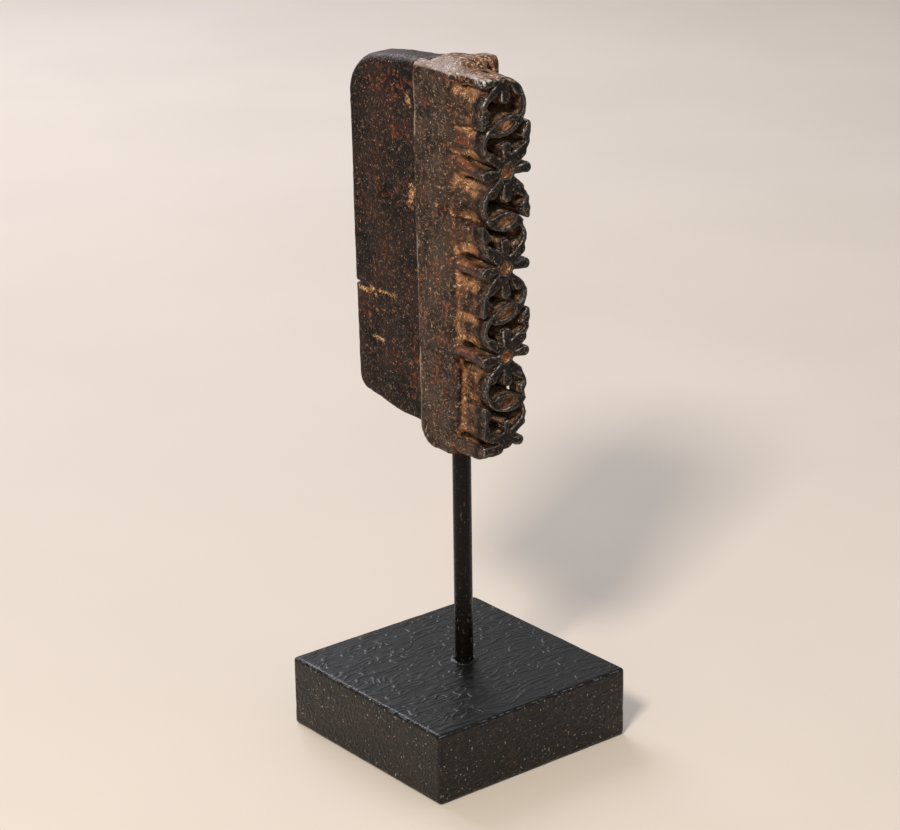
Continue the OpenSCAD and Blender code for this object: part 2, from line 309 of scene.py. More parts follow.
# carved block: sizes in mm, and the border as it was cut, from its lowest flower up
block = {
    "cell": 0.42,
    "margin": 3.6,  # air round the solid's box, for what stands past it
    "triangles": 195000,
    "backThick": 24.0,  # solid wood behind the carving
    "sway": (0.3, 31.0),  # how far the sides wander, and over what height
    "rearSway": 0.6,  # the rear's share of that
    "groundSlant": 0.12,  # the carving was cut deeper on the right
    "groundLeft": 0.9,  # and ends this far before the ground on the left
    "groundRound": (1.2, 2.4),  # roundness of its end, and what that gains where the cut runs out
    # height and Y where the gouge ran out over the left edge, and how far in the run-out goes
    "runOut": [
        (133, -10), (142, -10.6), (152, -13), (159, -13.9), (170, -14.1), (177, -12), (183, -10),
        (208, -10.4), (232, -8), (248, -8.3), (256, -9.5), (271, -11.2), (285, -10.1), (294, -11.5),
    ],
    "runOutWidth": 0.24,
    "heel": 9.0,
    "underside": (8.0, 1.0),  # flat to this far behind the ground, then rising by this
    "spare": 4.0,  # the back's outline runs on this far and is cut off at the ground
    "rearLean": ((150.0, 0.6), (280.0, 2.0)),  # the rear leans back: height, mm
    "rearLeanY": (-6, 6),
    "edge": 0.5,
    "topEdge": 1.5,
    "topEdgeReach": 6,
    "dome": 2.9,  # the top swells up between its edges, and dies out towards the front
    "domeCrest": 0.64,  # where it is highest, as a share of the width
    "domeReach": 20,
    "domeFront": ((-15.0, -11.4), (-4.0, -9.4)),  # Y where it is gone and where it is full, left and right
    "domeLoss": (0.6, (-4, 8), (0.5, 0.9)),  # it sinks at the rear right: share, Y, share of the width
    "frontRise": (0.8, (8, -5), (0.5, 1)),  # and rises at the front right: mm, Y, share of the width
    "knocked": (0.5, 0.5, 0.7, 0.6),  # rear right corner: the slant of its break in X, Y, Z, and how far out
    "knockedRound": 2.5,
    "shoulder": ((4.6, 281.6), 10.2),  # the border's round upper corner on the right
    "shoulderDraft": 0.08,
    "shoulderEnds": ((4, -1, 3), (6, 3, 9)),  # how it is let go to the left and below: mm, from, to
    "sag": 0.6,  # the underside hangs this much below the solid's
    "toeRise": 3.6,  # and rises towards the printing face
    "halfFace": 12.6,
    "seed": 7,
    "flowers": [(3.5, 141.4), (3.8, 177.2), (3.8, 214.7), (4.6, 254.4), (4.1, 295.6)],
    "leaves": [(4.1, 157.4), (4.0, 195.8), (3.9, 234.0), (4.1, 273.2)],
    # each petal's direction in degrees, its reach and half the width of its tip
    "petals": [(3, 12.4, 2.3), (40, 13.0, 2.3), (90, 12.4, 2.4), (138, 12.6, 2.2),
               (182, 11.7, 2.3), (227, 13.0, 2.4), (270, 12.6, 2.5), (311, 12.6, 2.3)],
    "lowPetals": [(-15, 9.2, 2.1), (38, 12.0, 1.9), (88, 8.7, 1.6)],
    "topPetals": [(270, 13.6, 2.4), (309, 12.8, 2.5)],
    "petalRoot": (2.0, 1.0),  # where a petal starts, and half its width there
    "petalWaist": (0.55, 0.78),  # halfway: shares of its reach and of its tip's width
    "petalStray": (0.3, 1.5),  # no two alike: mm of reach, degrees
    "finger": (13.0, 2.3, 0.04),  # reach, half width and slope of the round ribs that end on the left side
    "fingerRise": (0.06, 0.06, 0.2),  # and how much each climbs towards the back
    "fingerRoot": (3.0, 0.4),
    "fingerWaist": (0.55, 0.8),
    "fingerSink": (2.5, 5.0),  # they sink into the back: mm, over what run
    "topRail": [(-5.6, 291.2, 1.8), (0.8, 291.6, 1.2)],
    "lowRail": [(-7.2, 137.2, 3.1), (-0.6, 137.7, 2.4)],
    "lowStrip": [(1.6, 142.2, 1.8), (-3.0, 143.4, 2.3), (-6.6, 145.0, 2.4), (-7.0, 150.5, 1.0)],
    "hookSpread": [0.78, 0.88, 0.92, 0.95],  # how far hooks and arcs stand out on the right, and on the left
    "arcSpread": [0.9, 0.97, 1.0, 1.0],
    "leftHook": 0.92,
    "leftArc": 1.1,
    "strokeBlend": 0.5,
    "brokenTip": ((17.4, -30.6, 160.2), 4.2),  # a hook that has lost its tip, and the gap behind it
    "tipGap": ((11.5, -21.6, 160.6), (18.5, -13.2, 156.7), 1.3),
    "breakRound": 0.6,
    "leafSize": (19.5, 8.0),
    "slotSize": (10.4, 4.0),
    "slotTilt": 11,
    "leafTilts": (-4, 15),  # where the vine falls to the right, and to the left
    "dimple": 2.6,
    "dimpleRim": 1.4,
    "dimpleStretch": 0.88,  # the smaller, the wider
    "hollow": 2.6,
    "hollowRound": 0.8,
    "draft": 0.05,  # how far an inner wall slopes out for each mm of depth
    "sideBand": (-7, -2.5),  # mm from a side where ribs are first hollowed, and where in full
    "scoop": 2.7,  # how far the gouge cut in behind the ribs at the sides
    "scoopEnds": 4,  # mm that it keeps from the face and the ground
    "scoopFrom": (139, 143),  # heights
    "fadeFrom": (190.0, 225.0),  # above this the cut runs out softly instead of ending in a step
    "fadeDepth": (-7, 1),  # Y from the ground where it does
    "endInset": 0.1,
    "sideSpare": 0.3,
    "carvingRound": 0.9,
    "carvingRoot": 9,  # how far the carving is carried on into the back
    "rootRound": 2.0,
    "rim": 0.8,  # wear on the rims of the printing face, and at its lower left corner
    "lipRound": 3.0,
    "lipBand": ((141, 136), (0.45, 0.1)),  # heights, and shares of the width
    # worm holes in the top: X, Y, radius
    "pits": [(3.7, -16.6, 0.6), (4.7, -16.9, 0.7), (5.6, -17.2, 0.6), (5.0, -20.2, 0.6), (10.9, -12.2, 0.8)],
    "pitDepth": 4.0,
    "pitStretch": 0.7,  # they are longer in Y
    "pitRound": 0.4,
    "pitShade": (0.9, 0.5),  # mm round a hole where its painted shade ends, and where it is full
    "socketPlay": 0.05,
    # roughness of the hand cutting: height or share, size in mm, seed
    "lumps": [(0.22, 7, 11), (0.14, 2.2, 12)],
    "flutes": [(0.45, (4.0, 18, 2.8), 13), (0.3, (1.6, 7, 1.2), 14)],
    "ragged": [(1, 3.2, 15), (0.6, 1.4, 16)],
    "patchy": [(1, (5, 9, 3), 17), (0.5, 2.5, 18)],
    "raggedTop": (0.5, (-5, -2), (-2, -10)),  # more so along the top's front: share, mm from the top, Y
    "raggedBand": (0.1, 0.8),
    "knockDepth": 0.7,
    "knockRear": (0.3, (6, 0)),  # the rear's share of the knocks, and Y where it ends
    "knockInk": 0.6,  # how much less the inked face is knocked
    "socketKeep": 1.0,  # left smooth round the rod's socket and in the handle's housing
    "seatKeep": (0.4, 0.4, 4.0),
    "edgeReach": 0.9,
    "caveReach": 2.8,
    "liftMost": 0.6,
    "groundBand": (2, -2),  # mm from the ground and from the top
    "topBand": (-4, -1.5),
    # where each mark starts and is full: mm behind the printing face, mm in from a side, sharpness of an edge
    "depths": {
        "ink": (1.6, 0.6), "walls": (1.6, 3.0), "cuts": (0.8, 1.6), "cutsEnd": (5, 4), "scrape": (4, 9),
        "dye": (7.5, 3), "litInnerWalls": (15, 9), "ridges": (11, 7), "rims": (1.1, 0.6), "polish": (13, 2),
    },
    "recesses": {"dye": (5, 3), "litInnerWalls": (4, 6.5), "fingers": (5, 3.5), "ridges": (5, 3)},
    "sharpness": {
        "knocks": (0.08, 0.22), "gold": (0.14, 0.02), "ridges": (0.03, 0.1), "gleam": (0.08, 0.16),
        "wear": (0.14, 0.24), "arrisHighlight": (0.1, 0.17), "polish": (0.04, 0.16),
    },
}
blockMiddle = rodAxis[0]
blockHalf = (blockHigh - blockLow)[0] / 2
blockFace, blockRear = blockLow[1], blockHigh[1]
blockGround = blockRear - block["backThick"]
blockTop = blockHigh[2]
farAway = 99.0

# the vine in one repeat: across in half faces, up in half repeats, then half its width in mm
vineArc = [
    (0.09, 0.82, 1.3), (0.31, 0.755, 1.3), (0.63, 0.61, 1.2), (0.78, 0.44, 1.1),
    (0.8, 0.33, 1.0), (0.73, 0.19, 1.0), (0.6, 0.08, 1.2),
]
vineHook = [
    (-0.21, 0.73, 1.8), (-0.54, 0.615, 1.8), (-0.83, 0.5, 1.4), (-0.96, 0.41, 1.0),
    (-0.91, 0.31, 1.5), (-0.92, 0.19, 2.1), (-1.0, 0.03, 1.0),
]
vineTooth = [(-0.86, 0.3, 1.3), (-0.68, 0.275, 0.4)]


def strokeDistance(x, z, points):
    best = np.full(np.broadcast(x, z).shape, farAway, np.float32)
    for (ax, az, ar), (bx, bz, br) in zip(points, points[1:]):
        dx, dz = bx - ax, bz - az
        t = np.clip(((x - ax) * dx + (z - az) * dz) / (dx * dx + dz * dz), 0, 1)
        d = np.hypot(x - ax - t * dx, z - az - t * dz) - (ar + t * (br - ar))
        best = np.minimum(best, d)
    return best


def leafDistance(x, z, centre, size, tilt):
    # the overlap of two circles
    a = math.radians(tilt)
    u = (x - centre[0]) * math.cos(a) + (z - centre[1]) * math.sin(a)
    v = -(x - centre[0]) * math.sin(a) + (z - centre[1]) * math.cos(a)
    half, rise = size[0] / 2, size[1] / 2
    r = (half * half + rise * rise) / (2 * rise)
    return np.hypot(u, np.abs(v) + r - rise) - r


def petalStrokes(b, k, rng):
    x, z = b["flowers"][k]
    petals = b["petals"]
    if k == 0:
        petals = b["lowPetals"]
    elif k == len(b["flowers"]) - 1:
        petals = b["topPetals"]
    strayReach, strayTurn = b["petalStray"]
    waistAt, waistWidth = b["petalWaist"]
    for angle, reach, tip in petals:
        reach += rng.uniform(-strayReach, strayReach)
        a = math.radians(angle + rng.uniform(-strayTurn, strayTurn))
        ends = [b["petalRoot"], (reach * waistAt, tip * waistWidth), (reach - tip, tip)]
        yield [(x + d * math.cos(a), z + d * math.sin(a), r) for d, r in ends]


def vineStrokes(b, k):
    x, z = b["leaves"][k]
    above = b["flowers"][k + 1][1] - z
    below = z - b["flowers"][k][1]
    side = 1 if k % 2 else -1
    for turn in (1, -1):
        rise = above if turn > 0 else below
        lowest = k == 0 and turn < 0
        for stroke in (vineArc, vineHook[3:] if lowest else vineHook, vineTooth):
            spread = b["halfFace"] * side * turn
            if stroke is vineArc:
                spread *= b["leftArc"] if spread < 0 else b["arcSpread"][k]
            else:
                spread *= b["leftHook"] if spread > 0 else b["hookSpread"][k]
            yield [(x + u * spread, z + turn * v * rise, r) for u, v, r in stroke]


def borderDistance(b, x, z):
    rng = np.random.default_rng(b["seed"])
    near = np.full(np.broadcast(x, z).shape, farAway, np.float32)
    strokes = [b["topRail"], b["lowRail"], b["lowStrip"]]
    for k in range(len(b["flowers"])):
        strokes += list(petalStrokes(b, k, rng))
    for k in range(len(b["leaves"])):
        strokes += list(vineStrokes(b, k))
    shapes = [strokeDistance(x, z, s) for s in strokes]
    shapes += [np.hypot(x - c[0], z - c[1]) - b["dimple"] - b["dimpleRim"] for c in b["flowers"]]
    for k, c in enumerate(b["leaves"]):
        shapes.append(leafDistance(x, z, c, b["leafSize"], b["leafTilts"][k % 2]))
    for shape in shapes:
        near = smoothMin(near, shape, b["strokeBlend"])
    return near


def fingerDistance(b, x, z, depth):
    near = np.full(np.broadcast(x, z, depth).shape, farAway, np.float32)
    reach, wide, slope = b["finger"]
    waistAt, waistWidth = b["fingerWaist"]
    shares = (b["fingerRoot"], (reach * waistAt, waistWidth), (reach - wide, 1.0))
    for (cx, cz), rise in zip(b["flowers"][1:-1], b["fingerRise"]):
        rib = [(cx - d, cz - slope * d, wide * share) for d, share in shares]
        near = np.minimum(near, strokeDistance(x, z - rise * depth, rib))
    return near


def hollowDistance(b, x, z):
    near = np.full(np.broadcast(x, z).shape, farAway, np.float32)
    for c in b["flowers"][1:-1]:
        near = np.minimum(near, np.hypot((x - c[0]) * b["dimpleStretch"], z - c[1]) - b["dimple"])
    for c in b["leaves"]:
        near = np.minimum(near, leafDistance(x, z, c, b["slotSize"], b["slotTilt"]))
    return near


def domeHeight(b, across, y, z):
    crest = b["domeCrest"]
    dome = b["dome"] * (1 - ((across - crest) / crest) ** 2)
    rise, riseY, riseAcross = b["frontRise"]
    dome = dome + rise * ramp(y, *riseY) * ramp(across, *riseAcross)
    out, full = (left + (right - left) * across for left, right in b["domeFront"])
    dome = dome * ramp(z, blockTop - b["domeReach"], blockTop) * ramp(y, out, full)
    loss, lossY, lossAcross = b["domeLoss"]
    return dome * (1 - loss * ramp(y, *lossY) * ramp(across, *lossAcross))


def backField(b, x, y, z, across, dome, foot):
    # the solid back, domed on top and cut on a slant in front, where the gouge ran out to the left
    swayBy, swayOver = b["sway"]
    sway = swayBy * np.sin(z / swayOver)
    heel, spare = b["heel"], blockGround - b["spare"]
    flatTo, rise = b["underside"]
    outline = [(spare, foot + rise), (blockGround + flatTo, foot)]
    outline += arcPoints((blockRear - heel, foot + heel), heel, 270, 360)
    outline += [(blockRear, blockTop), (spare, blockTop)]
    leanBack = np.interp(z, *zip(*b["rearLean"])) * ramp(y, *b["rearLeanY"])
    profile = outlineDistance(outline, y + sway * b["rearSway"] - leanBack, z - dome)
    edge = b["edge"] + (b["topEdge"] - b["edge"]) * ramp(z, blockTop - b["topEdgeReach"], blockTop)
    slab = slabField(x + sway, profile, blockMiddle, blockHalf, edge)
    front = blockGround - b["groundLeft"] + b["groundSlant"] * 2 * blockHalf * across
    start = np.interp(z, *zip(*b["runOut"]))
    front = front + (start - blockGround + b["groundLeft"]) * ramp(across, b["runOutWidth"], 0)
    least, gain = b["groundRound"]
    slab = smoothMax(slab, front - y, least + gain * ramp(z, *b["fadeFrom"]))
    slantX, slantY, slantZ, keep = b["knocked"]
    knocked = slantX * (x - blockMiddle - blockHalf) + slantY * (y - blockRear)
    knocked = knocked + slantZ * (z - dome - blockTop) - keep
    return smoothMax(slab, knocked, b["knockedRound"])


def wallField(b, x, y, z, depth):
    # a flat pattern, its inner walls sloping out and its ribs hollowed at the sides
    atSide = rampFrom(np.abs(x - blockMiddle), blockHalf, b["sideBand"])
    runOut = ramp(z, *b["fadeFrom"]) * rampFrom(y, blockGround, b["fadeDepth"])
    within = ramp(y, blockFace + b["scoopEnds"], blockGround - b["scoopEnds"])
    scoop = b["scoop"] * within * atSide * (1 - runOut) * ramp(z, *b["scoopFrom"])
    flat = borderDistance(b, x, z)[:, 0, :]
    column = (x + scoop * np.sign(x - blockMiddle) - x.min()) / b["cell"]
    left = np.clip(column.astype(np.int64), 0, len(flat) - 2)
    level = np.arange(z.size)
    walls = flat[left, level] + (flat[left + 1, level] - flat[left, level]) * (column - left)
    walls = walls - b["draft"] * depth * (1 - atSide)
    sinkBy, sinkOver = b["fingerSink"]
    fingers = fingerDistance(b, x, z, depth) + sinkBy * ramp(y, blockGround, blockGround + sinkOver)
    return smoothMin(walls, fingers, b["strokeBlend"])


def lossField(b, x, y, z):
    # the broken tip and the gap behind it
    (tipX, tipY, tipZ), tipR = b["brokenTip"]
    tip = np.sqrt((x - tipX) ** 2 + (y - tipY) ** 2 + (z - tipZ) ** 2) - tipR
    start, end, gapR = b["tipGap"]
    run = np.subtract(end, start)
    along = (x - start[0]) * run[0] + (y - start[1]) * run[1] + (z - start[2]) * run[2]
    t = np.clip(along / (run @ run), 0, 1)
    gap = np.sqrt(sum((v - s0 - t * r) ** 2 for v, s0, r in zip((x, y, z), start, run))) - gapR
    return np.minimum(tip, gap)


def carvingField(b, x, y, z, across, dome, foot):
    depth = np.clip(y - blockFace, 0, None)
    walls = wallField(b, x, y, z, depth)
    share = (blockGround - y) / (blockGround - blockFace)
    inset = b["endInset"]
    ends = np.maximum(z - dome * (1 - share) - blockTop + inset, foot + b["toeRise"] * share + inset - z)
    (roundX, roundZ), roundR = b["shoulder"]
    shoulder = np.hypot(np.maximum(x - roundX, 0), np.maximum(z - roundZ, 0)) - roundR
    (leftBy, *leftEnd), (lowBy, *lowEnd) = b["shoulderEnds"]
    shoulder = shoulder - b["shoulderDraft"] * depth - leftBy * ramp(roundX - x, *leftEnd)
    ends = np.maximum(ends, shoulder - lowBy * ramp(roundZ - z, *lowEnd))
    sides = np.abs(x - blockMiddle) - blockHalf - b["sideSpare"]
    carving = smoothMax(walls, np.maximum(ends, sides), b["carvingRound"])
    lipHeight, lipAcross = b["lipBand"]
    lip = b["lipRound"] * ramp(z, *lipHeight) * ramp(across, *lipAcross)
    carving = smoothMax(carving, blockFace - y, b["rim"] + lip)
    carving = np.maximum(carving, y - blockGround - b["carvingRoot"])
    sunk = np.maximum(hollowDistance(b, x, z), y - blockFace - b["hollow"])
    carving = smoothMax(carving, -sunk, b["hollowRound"])
    return smoothMax(carving, -lossField(b, x, y, z), b["breakRound"])


def blockField(b, x, y, z):
    across = (x - blockMiddle + blockHalf) / (2 * blockHalf)  # 0 on the left side, 1 on the right
    dome = domeHeight(b, across, y, z)
    foot = blockLow[2] - b["sag"]
    back = backField(b, x, y, z, across, dome, foot)
    field = smoothMin(back, carvingField(b, x, y, z, across, dome, foot), b["rootRound"])
    for px, py, r in b["pits"]:
        bore = np.hypot(x - px, (y - py) * b["pitStretch"]) - r
        field = smoothMax(field, -np.maximum(bore, blockTop - b["pitDepth"] - z), b["pitRound"])

    # housing for the handle, socket for the rod, holes for the pegs
    housing = np.maximum(np.abs(x - blockMiddle) - (handleHigh - handleLow)[0] / 2, handleLow[1] - y)
    field = np.maximum(field, -np.maximum(housing, handleLow[2] - z))
    socket = np.hypot(x - rodAxis[0], y - rodAxis[1]) - rodRadius - b["socketPlay"]
    field = np.maximum(field, -np.maximum(socket, z - rodHigh[2]))
    return cutPegs(field, x, y, z)


def cutByHand(b, obj, field, low):
    # lumps all over, flutes along the carved walls, knocked edges
    p, n = pointsOf(obj), normalsOf(obj)
    x, y, z = p.T
    edges = emptyShare(field, p, low, b["cell"], b["edgeReach"]) - 0.5
    carved = rampFrom(y, blockGround, b["groundBand"])
    inked = rampFrom(y, blockFace, b["depths"]["ink"])
    inner = np.hypot(x - rodAxis[0], y - rodAxis[1]) < rodRadius + b["socketKeep"]
    seat = np.array(b["seatKeep"])
    inner |= np.all((p > handleLow - seat[0]) & (p < handleHigh + seat), axis=1)
    flutes = noiseOf(p, b["flutes"])
    more, moreHeight, moreY = b["raggedTop"]
    ragged = noiseOf(p, b["ragged"]) + more * rampFrom(z, blockTop, moreHeight) * ramp(y, *moreY)
    least, leastY = b["knockRear"]
    knocks = ramp(ragged, *b["raggedBand"]) * ramp(edges, *b["sharpness"]["knocks"])
    knocks = knocks * (least + (1 - least) * ramp(y, *leastY))
    push = noiseOf(p, b["lumps"]) + carved * (1 - inked) * flutes
    push = push - b["knockDepth"] * knocks * (1 - b["knockInk"] * inked)
    push[inner] = 0
    movePoints(obj, p + n * push[:, None])


def markBlock(b, obj, field, low):
    # where the dye, the rubbing and the bare cuts show, and where light and shade are painted in
    p, n = pointsOf(obj), normalsOf(obj)
    x, y, z = p.T
    toRight, toRear, upward = n.T
    depths, recesses, sharpness = b["depths"], b["recesses"], b["sharpness"]
    depth = y - blockFace
    recess = blockHalf - np.abs(x - blockMiddle)
    lifted = np.clip(sampled(field, p, low, b["cell"]), -b["liftMost"], b["liftMost"])
    edges = emptyShare(field, p - n * lifted[:, None], low, b["cell"], b["edgeReach"]) - 0.5
    caves = 0.5 - emptyShare(field, p, low, b["cell"], b["caveReach"])
    patchy = noiseOf(p, b["patchy"])
    runs = ramp(y, -7, -8.5) * ramp(toRear, -0.25, -0.5)  # where the gouge ran out
    carved = np.maximum(rampFrom(y, blockGround, b["groundBand"]), runs)
    walls = carved * ramp(depth, *depths["walls"])
    inked = ramp(depth, *depths["ink"])
    cuts = ramp(hollowDistance(b, x, z), 0.5, -0.1)
    cuts = cuts * ramp(depth, *depths["cuts"]) * ramp(depth, *depths["cutsEnd"])
    shadeEnd, shadeFull = b["pitShade"]
    pits = np.zeros(len(p))
    for px, py, r in b["pits"]:
        away = np.hypot(x - px, (y - py) * b["pitStretch"]) - r
        pits = np.maximum(pits, ramp(away, shadeEnd, shadeFull))
    pits = pits * ramp(z, blockTop - b["pitDepth"] - 1, blockTop - b["pitDepth"])
    high = rampFrom(z, blockTop, b["topBand"])
    # upward faces near the top, painted paler as lit, with a painted sheen
    litTops = ramp(upward, 0.4, 0.8) * high * (1 - pits)
    warm = ramp(x - 0.3 * y, -2, 6)
    crest = recess - b["scoop"] * ramp(depth, b["scoopEnds"], blockGround - blockFace - b["scoopEnds"])
    scraped = ramp(crest + 0.7 * patchy + 10 * caves, -0.7, 0.9) * ramp(depth + 3 * patchy, *depths["scrape"])
    scraped = scraped * (0.75 + 0.25 * ramp(z, 170, 200))  # and less of it low down
    fingers = ramp(fingerDistance(b, x, z, depth), 1.0, 0.3) * walls * ramp(recess, *recesses["fingers"])
    ridges = walls * ramp(edges + 0.05 * patchy, *sharpness["ridges"]) * ramp(recess, *recesses["ridges"])
    # rim edges of the printing face: those facing up and to the left, towards the key lamp, get a painted
    # highlight, the rest show worn brown wood
    rims = ramp(depth, *depths["rims"]) * ramp(toRear, -0.95, -0.86) * ramp(toRear, -0.5, -0.66)
    lampSide = ramp(0.7 * upward - 0.7 * toRight, 0.0, 0.4)
    polish = np.maximum(ramp(edges, *sharpness["polish"]) * ramp(depth, *depths["polish"]), 0.8 * fingers)
    # walls facing upwards, painted lighter as lit from above
    litUpWalls = walls * ramp(upward, 0.1, 0.6)
    marks = {
        "dye": walls * ramp(recess, *recesses["dye"]) * ramp(depth + 1.5 * patchy, *depths["dye"]),
        "litInnerWalls": litUpWalls * ramp(recess, *recesses["litInnerWalls"]) * ramp(depth, *depths["litInnerWalls"]),
        "fingers": fingers,
        # the ribs' upper faces painted lighter, as lit from above
        "litFingerTops": fingers * ramp(upward + 0.3 * patchy, 0.0, 0.5),
        "gold": walls * scraped * ramp(edges, *sharpness["gold"]) * (1 - fingers),
        # the crevices and worm holes painted near black: their grime, and painted shade where light does not
        # reach in
        "grimeAndShade": np.maximum(carved * ramp(caves, 0.1, 0.22), pits),
        "ridges": ridges * ramp(depth, *depths["ridges"]),
        "ink": inked * (1 - cuts),
        "cuts": cuts,
        "litTops": litTops,
        "warmTops": litTops * warm,
        "gleam": ramp(edges, *sharpness["gleam"]) * high * ramp(y, -2, -10) * ramp(x, 2, -2),
        "rims": rims * lampSide,
        "dryRims": rims * (1 - lampSide),
        "wear": ramp(edges, *sharpness["wear"]) * (1 - carved),
        # a painted highlight along the rear left edge
        "arrisHighlight": ramp(edges, *sharpness["arrisHighlight"]) * ramp(y, 6, 9) * ramp(x, -7, -9),
        "polish": np.maximum(polish, 0.6 * litTops * ramp(y, 4, -8) * (1 - 0.8 * warm)),
    }
    for name, share in marks.items():
        setAttribute(obj, name, share)


def buildBlock(b):
    low, high = blockLow - b["margin"], blockHigh + b["margin"]
    field = blockField(b, *gridOver(low, high, b["cell"]))
    obj = meshFrom("printing_block", *skinOf(field, low, b["cell"]))
    cutByHand(b, obj, field, low)
    thinned(obj, b["triangles"])
    markBlock(b, obj, field, low)
    return obj


# handle: a slab seated in the block's housing, rounded by hands
handle = {
    "cell": 0.6,
    "margin": (1.8, 3.6),  # air below and above the solid's box
    "triangles": 110000,
    "crown": 17.0,
    "crownEnd": 79,  # where the crown's arc meets the top
    "topRise": 1.2,
    "seatRise": 1.3,  # the top sweeps up to the block
    "seatRiseY": (18, 9),
    "seatSpare": 9,  # the outline runs on this far and is cut off in the housing
    "topDrop": 5.8,  # how far the top falls towards the rear, and how late
    "topBend": 2.2,
    "topSteps": 20,
    "sag": 0.8,  # the underside hangs level this far below the seat, and lifts at the rear
    "levelTo": 30.0,
    "toe": 7.0,
    "toeStart": -78,
    "lift": 3.6,
    "tuck": 2.8,
    "sway": (0.3, 26.0),  # how far the sides wander, and over what height
    "rearSway": 0.4,
    "edge": 1.8,
    "topEdge": 4.6,
    "topEdgeBand": (-20, -4),  # mm from the top
    "seatEdge": 0.4,
    "seatEdgeBand": (-1, 14),  # mm behind the block
    "splitHeight": 190.4,  # where the rear edge has split, and how far the split runs in
    "splitRun": 27.0,
    "splitSlope": 0.05,
    "splitWave": (0.4, 3.0),
    "splitWidth": (0.1, 0.55),  # half its width inside, and what that gains at the rear
    "splitDepth": (0.5, 3.0),
    "splitRound": 0.8,
    # bare spots on the left side: Y, Z, half length along Y, half height
    "bare": [
        (23.0, 275.3, 1.6, 3.0), (21.2, 236.0, 2.4, 5.2), (53.5, 188.6, 6.0, 1.3),
        (43.0, 190.0, 8.0, 0.8), (45.0, 168.6, 5.0, 0.7),
    ],
    "bareDepth": 0.3,
    "streaks": [(57.5, 211.5, 5.0, 0.9), (50.0, 206.0, 5.0, 0.8)],  # and dark streaks
    "reddish": [(33.0, 281.0, 14.0, 5.0), (21.0, 162.0, 3.0, 15.0), (28.0, 262.0, 10.0, 4.0)],
    # roughness of the surface: height or share, size in mm, seed
    "lumps": [(0.28, (9, 9, 22), 21), (0.12, 2.4, 22)],
    "ragged": [(0.7, 2.4, 23), (0.6, 1.1, 24)],
    "edgeReach": 1.2,
    "seatKeep": 0.5,  # left smooth where it meets the block
}


def handleOutline(h):
    front, rear = handleLow[1], handleHigh[1]
    foot, top = handleLow[2], handleHigh[2] + h["topRise"]
    crown, end = h["crown"], math.radians(h["crownEnd"])
    curve = []
    for v in np.linspace(rear - crown * (1 - math.cos(end)), front, h["topSteps"]):
        fall = h["topDrop"] * (max(0, v - front) / (rear - front)) ** h["topBend"]
        curve.append((v, top + h["seatRise"] * ramp(v, *h["seatRiseY"]) - fall))
    crownZ = curve[0][1] - crown * math.sin(end)
    inside = front - h["seatSpare"]
    outline = [(inside, foot - h["sag"]), (h["levelTo"], foot - h["sag"])]
    toe = (rear - h["tuck"] - h["toe"], foot + h["lift"] + h["toe"])
    outline += arcPoints(toe, h["toe"], h["toeStart"], 0)
    outline += arcPoints((rear - crown, crownZ), crown, 0, h["crownEnd"])
    return outline + curve[1:] + [(inside, top + h["seatRise"])]


def handleField(h, x, y, z):
    rear, top = handleHigh[1], handleHigh[2] + h["topRise"]
    middle, half = blockMiddle, (handleHigh - handleLow)[0] / 2
    swayBy, swayOver = h["sway"]
    sway = swayBy * np.sin(z / swayOver + 1)
    edge = h["edge"] + (h["topEdge"] - h["edge"]) * rampFrom(z, top, h["topEdgeBand"])
    edge = h["seatEdge"] + (edge - h["seatEdge"]) * rampFrom(y, blockRear, h["seatEdgeBand"])
    profile = outlineDistance(handleOutline(h), y + sway * h["rearSway"], z)
    field = slabField(x + sway, profile, middle, half, edge)
    field = np.maximum(field, handleLow[1] - y)
    seat = np.maximum(np.abs(x - middle) - half, handleLow[2] - z)  # square where it lies in the housing
    field = np.where(y < blockRear, np.maximum(field, seat), field)

    # a split at the rear edge that closes towards the block
    run = h["splitRun"]
    reach = ramp(y, rear - run, rear)
    waveBy, waveOver = h["splitWave"]
    path = h["splitHeight"] - h["splitSlope"] * (rear - y) + waveBy * np.sin(y / waveOver)
    least, gain = h["splitWidth"]
    split = np.maximum(np.abs(z - path) - least - gain * reach ** 4, rear - run - y)
    least, gain = h["splitDepth"]
    split = np.maximum(split, x - middle + half - least - gain * reach ** 3)
    field = smoothMax(field, -split, h["splitRound"])
    return cutPegs(field, x, y, z)


def spotShare(p, spots, ragged):
    share = np.zeros(len(p))
    for y, z, long, tall in spots:
        away = np.hypot((p[:, 1] - y) / long, (p[:, 2] - z) / tall)
        share = np.maximum(share, ramp(ragged - away, -1.2, -0.7))
    return share


def buildHandle(h):
    below, above = h["margin"]
    low, high = handleLow - below, handleHigh + above
    field = handleField(h, *gridOver(low, high, h["cell"]))
    obj = meshFrom("block_handle", *skinOf(field, low, h["cell"]))
    thinned(obj, h["triangles"])
    p, n = pointsOf(obj), normalsOf(obj)
    edges = emptyShare(field, p, low, h["cell"], h["edgeReach"]) - 0.5
    ragged = noiseOf(p, h["ragged"])
    onLeft = ramp(-n[:, 0], 0.3, 0.6)
    bare = spotShare(p, h["bare"], ragged) * onLeft
    lumps = noiseOf(p, h["lumps"]) - h["bareDepth"] * bare
    lumps[p[:, 1] < blockRear + h["seatKeep"]] = 0
    movePoints(obj, p + n * lumps[:, None])
    setAttribute(obj, "wear", ramp(edges, 0.08, 0.25))
    setAttribute(obj, "bare", bare)
    setAttribute(obj, "streaks", spotShare(p, h["streaks"], ragged) * onLeft)
    setAttribute(obj, "redden", spotShare(p, h["reddish"], ragged) * onLeft)
    # upward faces painted paler, a painted sheen
    setAttribute(obj, "litTops", ramp(n[:, 2], 0.5, 0.9))
    return obj


printingBlock = buildBlock(block)
print("block carved:", len(printingBlock.data.polygons), "faces")
blockHandle = buildHandle(handle)
print("handle shaped:", len(blockHandle.data.polygons), "faces")

